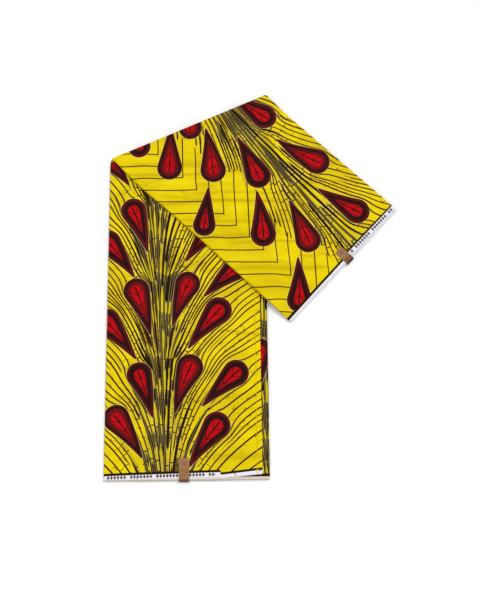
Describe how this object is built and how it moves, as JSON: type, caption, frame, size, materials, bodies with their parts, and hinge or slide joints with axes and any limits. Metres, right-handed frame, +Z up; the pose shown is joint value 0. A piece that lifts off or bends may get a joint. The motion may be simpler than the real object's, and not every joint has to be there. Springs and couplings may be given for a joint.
{
  "type": "folded length of wax print cloth",
  "caption": "Length of printed cotton cloth folded into a flat strip of many layers and turned over on a slant, its flap lying down to one side, with plain paper labels on the selvedges.",
  "frame": {"origin": "on the surface that the cloth lies on, under the middle of its bounding box", "axes": "+Z up, out of the cloth; +Y along the strip, from its bottom selvedge towards the slanting fold; +X across the strip, from its closed edge towards the side where the flap lies"},
  "size_m": [0.62, 0.8286, 0.017],
  "materials": {
    "printed_cotton": "matte",
    "folded_layers": "matte",
    "tag_paper": "satin"
  },
  "bodies": {
    "root": {"front_panel": "printed_cotton", "second_layer": "printed_cotton", "under_panel": "printed_cotton", "flap_panel": "printed_cotton", "lower_core": "folded_layers", "flap_core": "folded_layers", "lower_tag": "tag_paper", "flap_tag": "tag_paper"}
  },
  "joints": []
}
